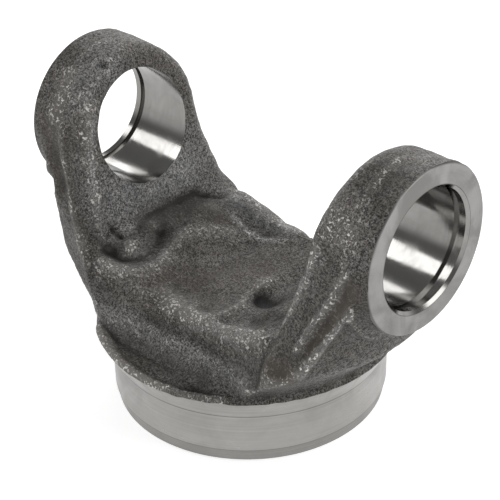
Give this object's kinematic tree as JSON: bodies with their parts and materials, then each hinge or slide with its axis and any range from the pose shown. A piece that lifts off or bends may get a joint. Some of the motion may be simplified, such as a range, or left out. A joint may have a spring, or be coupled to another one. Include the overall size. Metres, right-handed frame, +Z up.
{
  "type": "forged weld yoke",
  "caption": "Forged U-joint weld yoke: round ears with cross bores on flared arms, waisted saddle hub, tube spigot with weld bevel.",
  "frame": {"origin": "centre of the spigot's lower face, on the shaft axis", "axes": "+Z up the shaft axis to the ears, +X along the cross bores"},
  "size_m": [0.1146, 0.08, 0.0842],
  "materials": {
    "forged_steel": "rough forged scale, with turned and bored faces left bare"
  },
  "bodies": {
    "root": {"weld_yoke": "forged_steel"}
  },
  "joints": []
}
